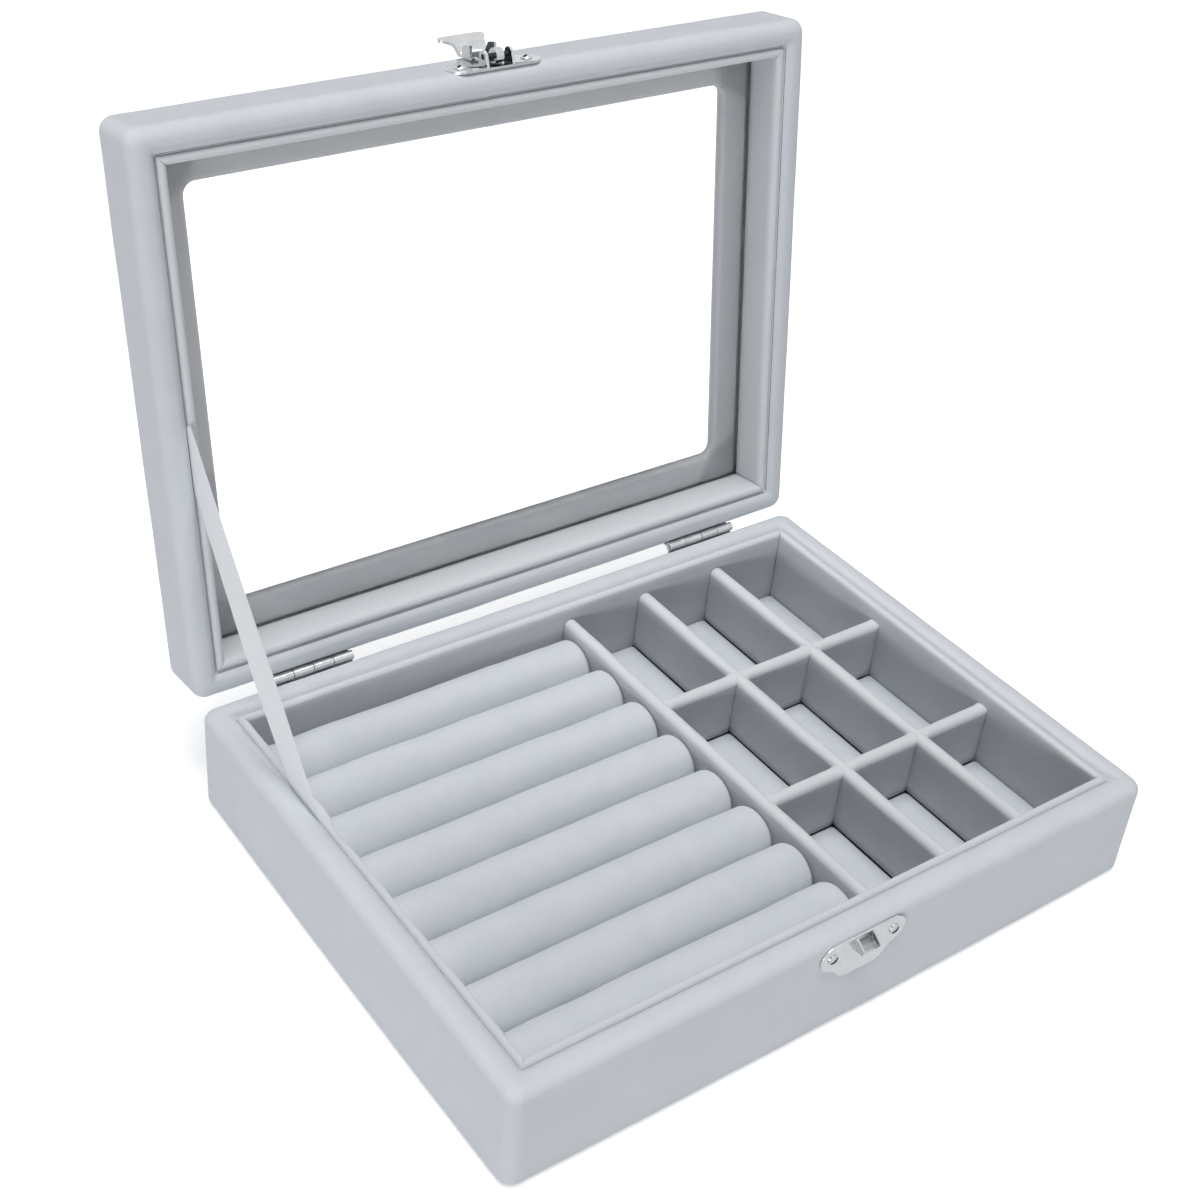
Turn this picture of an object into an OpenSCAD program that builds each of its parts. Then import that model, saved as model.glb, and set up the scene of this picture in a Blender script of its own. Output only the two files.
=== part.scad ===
// Ring display box: a velvet covered case with a glass lid, eight ring rolls and nine small cells.
// It stands open, with its lid held by the ribbon and its clasp tongue folded back.
// Millimetres. The origin is the middle of the underside, +X is right, +Y is back and +Z is up.
// The lid is drawn shut and then swung open about its hinge pins.

/* [Case] */
// Outside width, left to right
case_w = 200; // [160:1:260]
// Outside depth, front to back
case_d = 150; // [120:1:200]
// Height of the base, from the table to its rim
base_h = 31; // [28:0.5:45]
// Height of the lid, from its rim to its top
lid_h = 18.6; // [16.6:0.2:30]
// Gap between the two rims when the lid is shut
seam_gap = 0.4; // [0.3:0.1:0.8]
// Radius of the padded outside edges
edge_r = 3.2; // [2.8:0.1:4]
// Angle from shut at which the ribbon stops the lid
lid_open = 98; // [80:1:110]

/* [Walls] */
// Thickness of the wall boards
board_t = 5.3; // [3:0.1:8]
// Thickness of the padded velvet over the boards
velvet_t = 1.2; // [1.2:0.1:2]
// Thickness of the lining cards
lining_t = 2.4; // [1.6:0.1:4]
// Width of the groove between a wall and its lining
groove_w = 0.5; // [0.5:0.1:1]
// How far the linings stop short of the rims
lining_drop = 0.8; // [0.4:0.1:3]

/* [Tray] */
// Thickness of the bottom board
bottom_t = 3; // [2:0.1:5]
// Thickness of the sheet glued under the base
under_t = 0.6; // [0.4:0.1:1.5]
// Bare border round the sheet under the base
under_border = 3; // [2:0.5:10]
// Slack between an insert and the lining beside it
insert_slack = 0.2; // [0.1:0.05:0.5]
// Width of the bay that holds the ring rolls
roll_bay_w = 100.2; // [60:0.2:108]
// Thickness of the main divider
main_divider_t = 3.8; // [2:0.1:6]
// Thickness of the cell dividers
cell_divider_t = 4.2; // [1.6:0.1:5]
// How far the dividers stop short of the base's rim
divider_drop = 5; // [1:0.5:8]
// How far the cross dividers stand in front of equal thirds
cross_shift = 2.2; // [0:0.1:4]
// Slack in the half laps where the cell dividers cross
lap_slack = 0.1; // [0.05:0.05:0.3]
// Thickness of the padded floor under the cells
cell_pad_t = 4; // [1:0.5:8]

/* [Ring rolls] */
// Thickness of the card that the rolls are glued to
roll_card_t = 1.6; // [1:0.1:3]
// How far the rolls stop short of the base's rim
roll_drop = 7.5; // [2:0.5:9]
// Gap between neighbouring rolls
roll_gap = 0.3; // [0.1:0.1:1]
// Gap between the rolls' right ends and the main divider
roll_end_gap = 0.3; // [0.3:0.1:5]
// Radius of the soft edge at a roll's ends
roll_end_r = 3; // [1:0.1:5]

/* [Lid window] */
// Width of the lid's border round its window
window_border = 18; // [14:0.5:30]
// Corner radius of the window
window_r = 3.5; // [1:0.5:10]
// Thickness of the board round the window
window_board_t = 3; // [2:0.1:4]
// Thickness of the glass pane
pane_t = 2; // [1.5:0.1:3]

/* [Hinges] */
// Width of each hinge
hinge_w = 24; // [18:0.5:30]
// Distance of each hinge's middle from the case's side
hinge_inset = 33.5; // [20:0.5:60]
// Radius of the hinge knuckles
knuckle_r = 1.3; // [1.1:0.1:1.4]
// Radius of the hinge pins
pin_r = 0.65; // [0.5:0.05:0.7]
// Radial running clearance of every pin
pin_slack = 0.05; // [0.03:0.01:0.08]
// Distance of the pin's axis behind the case's back
pin_out = 0.4; // [0.4:0.1:1]
// Gap between neighbouring knuckles
knuckle_gap = 0.2; // [0.1:0.05:0.4]
// Height of each hinge leaf
leaf_h = 8.6; // [6:0.1:12]
// Thickness of each hinge leaf
leaf_t = 0.6; // [0.4:0.1:0.8]
// Distance between a leaf's two screws
leaf_screw_span = 14; // [10:0.5:16]

/* [Clasp] */
// Thickness of the two clasp plates
plate_t = 0.7; // [0.5:0.1:1]
// Distance of the base plate's straight edge below the base's rim
catch_drop = 2.4; // [1.5:0.1:4]
// Distance of the lid plate's straight edge above the lid's rim
lid_plate_rise = 0.9; // [0.5:0.1:1.5]
// Radius of a clasp plate's ears
ear_r = 3.8; // [3:0.1:4]
// Distance of each ear's middle from the clasp's middle
ear_x = 9.8; // [9:0.1:12]
// Radius of the corners of a clasp plate's tail
tail_r = 4.6; // [3.5:0.1:5.5]
// Width of a clasp plate's tail
tail_w = 17; // [15:0.2:18]
// Radius of the hollow curve between a clasp plate's ear and its tail
hollow_r = 6; // [3:0.5:12]
// Full height of a clasp plate
plate_h = 12; // [11.4:0.1:14]
// Width of the catch's nose
nose_w = 5.8; // [4:0.1:6]
// Height of the catch's nose
nose_h = 4; // [3:0.1:4.2]
// Thickness of the clasp tongue and of the lugs that hold it
tongue_t = 0.7; // [0.5:0.1:0.8]
// Length of the clasp tongue below its pin
tongue_l = 18; // [15:0.5:20]
// Width of the tongue's hollow body
tongue_w = 8; // [7.8:0.1:8.8]
// Width of the tongue's finger tab
tab_w = 13.6; // [10:0.2:15]
// Radius of the tongue's pin
tongue_pin_r = 0.7; // [0.5:0.05:0.8]
// Radius of the tongue's knuckle
tongue_knuckle_r = 1.9; // [1.7:0.1:2]
// Width of the tongue's knuckle
tongue_knuckle_w = 2.2; // [1.6:0.1:4]
// Angle from latched at which the tongue stands folded back
tongue_fold = 180; // [90:5:180]

/* [Screws] */
// Radius of the screw heads
screw_head_r = 1.5; // [1.2:0.1:1.8]
// Height of the screw heads
screw_head_h = 0.8; // [0.6:0.1:1]
// Radius of the screw shanks
screw_r = 0.8; // [0.5:0.1:1]
// Length of the screw shanks
screw_l = 4.5; // [3:0.5:5]

/* [Ribbon] */
// Width of the ribbon that holds the lid
ribbon_w = 14.4; // [8:0.1:15]
// Thickness of the ribbon
ribbon_t = 0.3; // [0.2:0.05:0.4]
// Distance of the ribbon's foot from the case's back, along the base's rim
ribbon_foot = 47; // [35:1:60]
// Distance of the ribbon's head from the case's back, along the lid's rim
ribbon_head = 68; // [50:1:80]
// Length of ribbon tucked into each groove
ribbon_tuck = 8; // [4:0.5:9]

/* [Hidden] */
$fn = 48;

// Sides of a frame, counted from the front and round to the left
FRONT = 0;
RIGHT = 1;
BACK = 2;
LEFT = 3;

VELVET = "lightgray";
BOARD = "burlywood";
METAL = "silver";

// Overshoot of a cutting shape past the face it cuts
cut = 1;

// Walls and linings, as distances in from the case's outside
wall_t = velvet_t + board_t;
board_r = edge_r - velvet_t;
lining_out = wall_t + groove_w;
lining_in = lining_out + lining_t;
front_y = -case_d / 2;
back_y = case_d / 2;

// Base, from the bottom up
base_board_z = under_t + velvet_t;
bottom_top = under_t + bottom_t;
base_lining_top = base_h - lining_drop;
divider_top = base_h - divider_drop;
roll_top = base_h - roll_drop;
card_top = bottom_top + roll_card_t;
pad_top = bottom_top + cell_pad_t;

// Tray, inside the linings
tray_left = -case_w / 2 + lining_in;
tray_right = case_w / 2 - lining_in;
tray_front = front_y + lining_in;
tray_back = back_y - lining_in;
tray_d = tray_back - tray_front;
main_left = tray_left + roll_bay_w;
main_right = main_left + main_divider_t;
main_x = (main_left + main_right) / 2;

// Ring rolls
ROLLS = 8;
roll_pitch = (tray_d - 2 * insert_slack + roll_gap) / ROLLS;
roll_w = roll_pitch - roll_gap;
roll_left = tray_left + insert_slack;
roll_right = main_left - roll_end_gap;

// Cells, three across and three deep
CELLS = 3;
cells_left = main_right + insert_slack;
cells_right = tray_right - insert_slack;
cell_w = (tray_right - main_right - (CELLS - 1) * cell_divider_t) / CELLS;
cell_d = (tray_d - (CELLS - 1) * cell_divider_t) / CELLS;
lap_z = (pad_top + divider_top) / 2;

// Lid, drawn shut
lid_z = base_h + seam_gap;
lid_top = lid_z + lid_h;
window_board_top = lid_top - velvet_t;
window_board_z = window_board_top - window_board_t;
pane_z = window_board_z - pane_t;
lid_lining_z = lid_z + lining_drop;

// Hinges
pin_y = back_y + pin_out;
pin_z = base_h + seam_gap / 2;
KNUCKLES = 4;
knuckle_w = (hinge_w - (KNUCKLES - 1) * knuckle_gap) / KNUCKLES;
hinge_x = case_w / 2 - hinge_inset;
leaf_gap = knuckle_r + knuckle_gap;
leaf_screw_z = leaf_gap + leaf_h / 2;

// Clasp, in heights and in distances out from the case's front
catch_z = base_h - catch_drop;
lid_plate_z = lid_z + lid_plate_rise;
plate_face_y = front_y - plate_t;
tongue_clear = 0.35;
tongue_pin_out = plate_t + tongue_clear + tongue_knuckle_r;
tongue_pin_y = front_y - tongue_pin_out;
// The lugs stand on the plate with feet a little wider than their round heads
lug_r = tongue_knuckle_r - 0.2;
lug_foot = lug_r + 0.5;
tongue_pin_z = lid_plate_z + lug_foot + 0.1;
lug_x = tongue_w / 2 - tongue_t + 0.1;
clasp_pin_l = 2 * (lug_x + tongue_t);
// The tongue's web lies outside its knuckle and steps in below the catch's nose
web_out = tongue_pin_out + tongue_knuckle_r;
web_in = web_out - tongue_t;
nose_clear = 0.45;
nose_out = web_in - nose_clear;
nose_top_z = catch_z - 0.6;
nose_low_z = nose_top_z - nose_h;
step_z = nose_low_z - 0.2;
step_in = plate_t + 1.2;
tip_z = tongue_pin_z - tongue_l;
tip_in = plate_t + tongue_clear;
wall_in = plate_t + 0.6;
// Heights at which the tongue's neck, body, side walls and tab begin
neck_z = tongue_pin_z - tongue_knuckle_r;
body_z = nose_top_z + 1;
side_z = nose_top_z + 0.4;
flare_z = nose_low_z + 1.5;
neck_w = 2 * lug_x - 1;
tip_r = 1.2;
ramp_h = 1.8;
// The tab's hollow curves start upright at the body and end above its round corners
flare_h = flare_z - tip_z - tip_r;
flare_w = (tab_w - tongue_w) / 2;
flare_r = (flare_h * flare_h + flare_w * flare_w) / (2 * flare_w);

// Ribbon, from the foot in the base's left groove to the head in the lid's
ribbon_x = -case_w / 2 + wall_t + groove_w / 2;
foot_y = back_y - ribbon_foot;
foot_z = base_h;
head_y = swung_y(back_y - ribbon_head, lid_z);
head_z = swung_z(back_y - ribbon_head, lid_z);
ribbon_free = norm([head_y - foot_y, head_z - foot_z]);
ribbon_tilt = atan2(head_z - foot_z, head_y - foot_y);

// Place of a point of the shut lid once the lid stands open
function swung_y(y, z) = pin_y + (y - pin_y) * cos(lid_open) + (z - pin_z) * sin(lid_open);
function swung_z(y, z) = pin_z - (y - pin_y) * sin(lid_open) + (z - pin_z) * cos(lid_open);

// Corner of the case's plan, drawn in by a distance
function plan_corner(i, inset) =
    let (signs = [[-1, -1], [1, -1], [1, 1], [-1, 1]][i % 4])
    [signs[0] * (case_w / 2 - inset), signs[1] * (case_d / 2 - inset)];

// Swings what is drawn on the shut lid to where the lid stands open
module opened() {
    translate([0, pin_y, pin_z]) rotate([-lid_open, 0, 0]) translate([0, -pin_y, -pin_z])
        children();
}

// Swings what is drawn latched to where the tongue stands folded back
module folded() {
    translate([0, tongue_pin_y, tongue_pin_z]) rotate([-tongue_fold, 0, 0])
        translate([0, -tongue_pin_y, -tongue_pin_z])
            children();
}

// Rectangle with true round corners
module round_rect(w, d, r) {
    square([w, d - 2 * r], center = true);
    square([w - 2 * r, d], center = true);
    for (x = [-1, 1], y = [-1, 1])
        translate([x * (w / 2 - r), y * (d / 2 - r)]) circle(r);
}

// Block on the case's plan with every outside edge rounded
module padded_block(z0, z1) {
    h = z1 - z0;
    translate([0, 0, z0]) intersection() {
        linear_extrude(h) round_rect(case_w, case_d, edge_r);
        translate([0, 0, h / 2]) rotate([90, 0, 0])
            linear_extrude(case_d, center = true) round_rect(case_w, h, edge_r);
        translate([0, 0, h / 2]) rotate([90, 0, 90])
            linear_extrude(case_w, center = true) round_rect(case_d, h, edge_r);
    }
}

// Square block on the case's plan, drawn in by a distance
module inset_block(inset, z0, z1) {
    translate([0, 0, z0]) linear_extrude(z1 - z0)
        square([case_w - 2 * inset, case_d - 2 * inset], center = true);
}

// Block that the boards fill under the velvet, with its upright corners eased
module board_block(z0, z1) {
    translate([0, 0, z0]) linear_extrude(z1 - z0)
        round_rect(case_w - 2 * velvet_t, case_d - 2 * velvet_t, board_r);
}

// One mitred board of a wall
module wall_board(side, z0, z1) {
    intersection() {
        mitred_side(side, velvet_t, board_t, z0, z1);
        board_block(z0, z1);
    }
}

// One mitred side of a frame, between two distances in from the outside
module mitred_side(side, inset, t, z0, z1) {
    translate([0, 0, z0]) linear_extrude(z1 - z0) polygon([
        plan_corner(side, inset), plan_corner(side + 1, inset),
        plan_corner(side + 1, inset + t), plan_corner(side, inset + t)
    ]);
}

// Round rod along one side of a frame, for the soft lip of a lining
module side_rod(side, inset, r, z) {
    along_x = side == FRONT || side == BACK;
    run = along_x ? case_w : case_d;
    reach = (along_x ? case_d : case_w) / 2 - inset;
    rotate([0, 0, 90 * side]) translate([0, -reach, z]) rotate([0, 90, 0])
        cylinder(h = run, r = r, center = true);
}

// Lining card of one side, mitred at its ends, with a round lip at its rim
module lining(side, foot_z, lip_z) {
    r = lining_t / 2;
    rise = lip_z > foot_z ? 1 : -1;
    low = min(foot_z, lip_z - rise * r);
    high = max(foot_z, lip_z - rise * r);
    mitred_side(side, lining_out, lining_t, low, high);
    intersection() {
        mitred_side(side, lining_out, lining_t, min(foot_z, lip_z), max(foot_z, lip_z));
        side_rod(side, lining_out + r, r, lip_z - rise * r);
    }
}

// Screw along Z: its domed and slotted head stands on z = 0 and its shank goes down
module screw() {
    dome_r = screw_head_r * 1.5;
    slot_w = screw_head_r * 0.27;
    slot_h = screw_head_h * 0.5;
    difference() {
        intersection() {
            cylinder(h = screw_head_h, r = screw_head_r);
            translate([0, 0, screw_head_h - dome_r]) sphere(dome_r);
        }
        rotate([0, 0, 35]) translate([-screw_head_r - cut, -slot_w / 2, screw_head_h - slot_h])
            cube([2 * (screw_head_r + cut), slot_w, slot_h + cut]);
    }
    translate([0, 0, -screw_l]) cylinder(h = screw_l, r = screw_r);
}

// Hole that a screw's shank lies in, from above its seat to just past its end
module screw_hole() {
    translate([0, 0, -screw_l - pin_slack]) cylinder(h = screw_l + 2 * cut, r = screw_r + pin_slack);
}

// Children at the two screws of a clasp plate, pointing out of the case's front
module at_ears(z, face_y) {
    for (x = [-ear_x, ear_x])
        translate([x, face_y, z]) rotate([90, 0, 0]) children();
}

// Children at the screws of both hinges, pointing out of the case's back
module at_leaf_screws(z, face_y) {
    for (hinge = [-hinge_x, hinge_x], x = [-leaf_screw_span / 2, leaf_screw_span / 2])
        translate([hinge + x, face_y, z]) rotate([-90, 0, 0]) children();
}

// Children at the places of the base's screws
module at_catch_screws() { at_ears(catch_z - ear_r, plate_face_y) children(); }
module at_base_leaf_screws() { at_leaf_screws(pin_z - leaf_screw_z, back_y + leaf_t) children(); }

// Children at the places of the lid's screws, on the shut lid
module at_lid_plate_screws() { at_ears(lid_plate_z + ear_r, plate_face_y) children(); }
module at_lid_leaf_screws() { at_leaf_screws(pin_z + leaf_screw_z, back_y + leaf_t) children(); }

// Boards of the base's walls, with the holes of the screws that go into them
module base_board(side) {
    color(BOARD) difference() {
        wall_board(side, base_board_z, base_h - velvet_t);
        if (side == FRONT) at_catch_screws() screw_hole();
        if (side == BACK) at_base_leaf_screws() screw_hole();
    }
}

// Padded velvet over the base's walls: outside, rim and turned under
module base_velvet() {
    color(VELVET) difference() {
        padded_block(under_t, base_h);
        inset_block(wall_t, 0, base_h + cut);
        board_block(base_board_z, base_h - velvet_t);
        at_catch_screws() screw_hole();
        at_base_leaf_screws() screw_hole();
    }
}

module base_bottom_board() {
    color(BOARD) inset_block(wall_t, under_t, bottom_top);
}

module base_under_sheet() {
    color("gainsboro") linear_extrude(under_t)
        round_rect(case_w - 2 * under_border, case_d - 2 * under_border, edge_r);
}

module base_lining(side) {
    color(VELVET) lining(side, bottom_top, base_lining_top);
}

module roll_card() {
    color(BOARD) translate([roll_left, tray_front + insert_slack, bottom_top])
        cube([main_left - insert_slack - roll_left, tray_d - 2 * insert_slack, roll_card_t]);
}

// Foam roll in velvet: a flat foot, a half round crown and soft ends
module ring_roll(i) {
    r = roll_w / 2;
    l = roll_right - roll_left;
    h = roll_top - card_top;
    y = tray_back - insert_slack - r - (i - 1) * roll_pitch;
    color(VELVET) translate([roll_left, y, card_top]) intersection() {
        rotate([90, 0, 90]) linear_extrude(l) union() {
            translate([-r, 0]) square([roll_w, h - r]);
            translate([0, h - r]) circle(r);
        }
        rotate([90, 0, 0]) linear_extrude(roll_w, center = true) union() {
            square([l, h - roll_end_r]);
            translate([roll_end_r, 0]) square([l - 2 * roll_end_r, h]);
            for (x = [roll_end_r, l - roll_end_r])
                translate([x, h - roll_end_r]) circle(roll_end_r);
        }
    }
}

// Upright card with a round top edge, drawn along Y in the middle of X
module divider_card(l, t, z0) {
    translate([-t / 2, -l / 2, z0]) cube([t, l, divider_top - t / 2 - z0]);
    translate([0, 0, divider_top - t / 2]) rotate([90, 0, 0])
        cylinder(h = l, r = t / 2, center = true);
}

module main_divider() {
    color(VELVET) translate([main_x, 0, 0])
        divider_card(tray_d - 2 * insert_slack, main_divider_t, bottom_top);
}

module cell_floor_pad() {
    color(VELVET) translate([cells_left, tray_front + insert_slack, bottom_top])
        cube([cells_right - cells_left, tray_d - 2 * insert_slack, cell_pad_t]);
}

// Middle of a cell divider, counted from the left or from the front
function cell_divider_x(i) = main_right + i * cell_w + (i - 0.5) * cell_divider_t;
function cell_divider_y(i) =
    tray_front + i * cell_d + (i - 0.5) * cell_divider_t - cross_shift;

// Divider from front to back, slotted from above where the others cross it
module long_cell_divider(i) {
    color(VELVET) translate([cell_divider_x(i), 0, 0]) difference() {
        divider_card(tray_d - 2 * insert_slack, cell_divider_t, pad_top);
        for (k = [1, 2])
            translate([-cell_divider_t, cell_divider_y(k) - cell_divider_t / 2 - lap_slack, lap_z])
                cube([2 * cell_divider_t, cell_divider_t + 2 * lap_slack, divider_top]);
    }
}

// Divider from left to right, slotted from below where the others cross it
module cross_cell_divider(i) {
    l = cells_right - cells_left;
    middle = (cells_left + cells_right) / 2;
    color(VELVET) translate([0, cell_divider_y(i), 0]) difference() {
        translate([middle, 0, 0]) rotate([0, 0, 90]) divider_card(l, cell_divider_t, pad_top);
        for (k = [1, 2])
            translate([cell_divider_x(k) - cell_divider_t / 2 - lap_slack, -cell_divider_t, 0])
                cube([cell_divider_t + 2 * lap_slack, 2 * cell_divider_t, lap_z]);
    }
}

// Middle of the hollow curve that touches an ear and the tail's corner beside it
function hollow_middle(ear, corner) =
    let (
        gap = norm(corner - ear),
        along = (corner - ear) / gap,
        a = ear_r + hollow_r,
        b = tail_r + hollow_r,
        run = (a * a - b * b + gap * gap) / (2 * gap)
    )
    ear + run * along + sqrt(a * a - run * run) * [-along[1], along[0]];

// Web of a clasp plate between its right ear and its tail, with a hollow edge
module ear_web() {
    ear = [ear_x, -ear_r];
    corner = [tail_w / 2 - tail_r, tail_r - plate_h];
    middle = hollow_middle(ear, corner);
    difference() {
        polygon([ear, corner, middle]);
        translate(middle) circle(hollow_r);
    }
}

// Outline of both clasp plates: a straight edge on X, two ears and a wide tail below them
module clasp_plate_2d() {
    ear_web();
    mirror([1, 0]) ear_web();
    translate([-ear_x, -2 * ear_r]) square([2 * ear_x, 2 * ear_r]);
    for (x = [-ear_x, ear_x]) translate([x, -ear_r]) circle(ear_r);
    translate([-tail_w / 2, tail_r - plate_h]) square([tail_w, plate_h - tail_r - ear_r]);
    translate([tail_r - tail_w / 2, -plate_h]) square([tail_w - 2 * tail_r, plate_h - ear_r]);
    for (x = [tail_r - tail_w / 2, tail_w / 2 - tail_r])
        translate([x, tail_r - plate_h]) circle(tail_r);
}

// Clasp plate against the case's front, with its straight edge at a height
module clasp_plate(z, flip) {
    translate([0, front_y, z]) rotate([90, 0, 0]) mirror([0, flip ? 1 : 0, 0])
        linear_extrude(plate_t) clasp_plate_2d();
}

// Shape drawn as distance out from the case's front and height, made wide along X
module clasp_profile(x, w) {
    translate([x, front_y, 0]) rotate([90, 0, 90]) linear_extrude(w)
        mirror([1, 0]) children();
}

// Base plate of the clasp, with the hollow nose that the tongue closes over
module catch_plate() {
    lip_z = (nose_top_z + nose_low_z) / 2;
    shell = 0.6;
    scoop_r = nose_h - shell;
    color(METAL) difference() {
        union() {
            clasp_plate(catch_z, false);
            clasp_profile(-nose_w / 2, nose_w) polygon([
                [plate_t / 2, nose_top_z], [plate_t, nose_top_z], [nose_out, lip_z],
                [nose_out, nose_low_z + shell], [plate_t, nose_low_z], [plate_t / 2, nose_low_z]
            ]);
        }
        clasp_profile(shell - nose_w / 2, nose_w - 2 * shell)
            translate([nose_out - shell, nose_top_z + shell]) intersection() {
                circle(scoop_r);
                translate([plate_t - nose_out + shell, -scoop_r])
                    square([nose_out - plate_t, 2 * scoop_r]);
            }
        at_catch_screws() screw_hole();
    }
}

module catch_screws() {
    color(METAL) at_catch_screws() screw();
}

// Hinge knuckle, counted from the left, on the pin's axis
module knuckle(i) {
    x = -hinge_w / 2 + i * (knuckle_w + knuckle_gap);
    translate([x, pin_y, pin_z]) rotate([0, 90, 0]) cylinder(h = knuckle_w, r = knuckle_r);
}

// Hinge leaf on the case's back: down on the base, or up on the shut lid
module hinge_leaf(side, up, knuckles) {
    rise = up ? 1 : -1;
    tab_h = leaf_gap - (pin_r + knuckle_r) / 2;
    color(METAL) difference() {
        translate([side * hinge_x, 0, 0]) {
            translate([-hinge_w / 2, back_y, up ? pin_z + leaf_gap : pin_z - leaf_gap - leaf_h])
                cube([hinge_w, leaf_t, leaf_h]);
            for (i = knuckles) {
                knuckle(i);
                translate([-hinge_w / 2 + i * (knuckle_w + knuckle_gap), back_y,
                           pin_z + rise * leaf_gap - (up ? tab_h : 0)])
                    cube([knuckle_w, leaf_t, tab_h]);
            }
        }
        translate([side * hinge_x, pin_y, pin_z]) rotate([0, 90, 0])
            cylinder(h = hinge_w + 2 * cut, r = pin_r + pin_slack, center = true);
        if (up) at_lid_leaf_screws() screw_hole();
        else at_base_leaf_screws() screw_hole();
    }
}

module hinge_pin(side) {
    color(METAL) translate([side * hinge_x, pin_y, pin_z]) rotate([0, 90, 0])
        cylinder(h = hinge_w, r = pin_r, center = true);
}

module hinge_base_screws() {
    color(METAL) at_base_leaf_screws() screw();
}

// Boards of the lid's walls, under the window board
module lid_board(side) {
    color(BOARD) opened() difference() {
        wall_board(side, lid_z + velvet_t, window_board_z);
        if (side == FRONT) at_lid_plate_screws() screw_hole();
        if (side == BACK) at_lid_leaf_screws() screw_hole();
    }
}

// Opening of the window, from below the lid to above it
module window_hole() {
    translate([0, 0, lid_z - cut]) linear_extrude(lid_h + 2 * cut)
        round_rect(case_w - 2 * window_border, case_d - 2 * window_border, window_r);
}

// Padded velvet over the lid: top, outside and rim
module lid_velvet() {
    color(VELVET) opened() difference() {
        padded_block(lid_z, lid_top);
        inset_block(wall_t, lid_z - cut, window_board_top);
        board_block(lid_z + velvet_t, window_board_top);
        window_hole();
        at_lid_plate_screws() screw_hole();
        at_lid_leaf_screws() screw_hole();
    }
}

module window_board() {
    color(VELVET) opened() difference() {
        board_block(window_board_z, window_board_top);
        window_hole();
    }
}

module glass_pane() {
    color("lightcyan", 0.4) opened() inset_block(wall_t + insert_slack, pane_z, window_board_z);
}

module lid_lining(side) {
    color(VELVET) opened() lining(side, pane_z, lid_lining_z);
}

module hinge_lid_screws() {
    color(METAL) opened() at_lid_leaf_screws() screw();
}

// Bore of the clasp's pin, through everything it passes
module clasp_bore() {
    translate([0, tongue_pin_y, tongue_pin_z]) rotate([0, 90, 0])
        cylinder(h = clasp_pin_l + 2 * cut, r = tongue_pin_r + pin_slack, center = true);
}

// Lid plate of the clasp, with the two lugs that hold the tongue's pin
module clasp_lid_plate() {
    color(METAL) opened() difference() {
        union() {
            clasp_plate(lid_plate_z, true);
            for (x = [-lug_x - tongue_t, lug_x]) clasp_profile(x, tongue_t) {
                translate([tongue_pin_out, tongue_pin_z]) circle(lug_r);
                translate([0, tongue_pin_z]) polygon([
                    [plate_t / 2, -lug_foot], [plate_t, -lug_foot], [tongue_pin_out, -lug_r],
                    [tongue_pin_out, lug_r], [plate_t, lug_foot], [plate_t / 2, lug_foot]
                ]);
            }
        }
        clasp_bore();
        at_lid_plate_screws() screw_hole();
    }
}

module clasp_lid_screws() {
    color(METAL) opened() at_lid_plate_screws() screw();
}

// Side view of the tongue's sheet: web, ramp under the nose, and finger tab
module tongue_side_2d() {
    polygon([
        [web_in, tongue_pin_z], [web_out, tongue_pin_z], [web_out, step_z - tongue_t],
        [step_in + tongue_t, step_z - ramp_h - tongue_t], [tip_in + tongue_t, tip_z],
        [tip_in, tip_z], [step_in, step_z - ramp_h], [web_in, step_z]
    ]);
}

// Front view of the tongue: knuckle, neck, body, and the tab that flares in two hollow curves
module tongue_front_2d() {
    translate([-tongue_knuckle_w / 2, neck_z - cut])
        square([tongue_knuckle_w, tongue_pin_z - neck_z + cut]);
    translate([-neck_w / 2, body_z - cut]) square([neck_w, neck_z - body_z + cut]);
    translate([-tongue_w / 2, flare_z]) square([tongue_w, body_z - flare_z]);
    difference() {
        translate([-tab_w / 2, flare_z - flare_h]) square([tab_w, flare_h]);
        for (x = [-tongue_w / 2 - flare_r, tongue_w / 2 + flare_r])
            translate([x, flare_z]) circle(flare_r);
    }
    translate([tip_r - tab_w / 2, tip_z]) square([tab_w - 2 * tip_r, 2 * tip_r]);
    for (x = [tip_r - tab_w / 2, tab_w / 2 - tip_r]) translate([x, tip_z + tip_r]) circle(tip_r);
}

// Tongue of the clasp, drawn hanging latched over the nose
module clasp_tongue() {
    color(METAL) opened() folded() difference() {
        union() {
            intersection() {
                translate([0, front_y, 0]) rotate([90, 0, 0]) linear_extrude(2 * web_out)
                    tongue_front_2d();
                clasp_profile(-tab_w, 2 * tab_w) tongue_side_2d();
            }
            for (x = [-tongue_w / 2, tongue_w / 2 - tongue_t]) clasp_profile(x, tongue_t) polygon([
                [wall_in, side_z], [web_out, side_z], [web_out, step_z],
                [web_in, step_z], [wall_in + 0.4, flare_z]
            ]);
            translate([0, tongue_pin_y, tongue_pin_z]) rotate([0, 90, 0])
                cylinder(h = tongue_knuckle_w, r = tongue_knuckle_r, center = true);
        }
        clasp_bore();
    }
}

module clasp_pin() {
    color(METAL) opened() translate([0, tongue_pin_y, tongue_pin_z]) rotate([0, 90, 0])
        cylinder(h = clasp_pin_l, r = tongue_pin_r, center = true);
}

// Taut ribbon in the left grooves, from inside the base's to inside the lid's
module ribbon_stay() {
    color("whitesmoke") translate([ribbon_x, foot_y, foot_z]) rotate([ribbon_tilt, 0, 0])
        translate([-ribbon_t / 2, -ribbon_tuck, -ribbon_w / 2])
            cube([ribbon_t, ribbon_free + 2 * ribbon_tuck, ribbon_w]);
}

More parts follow.
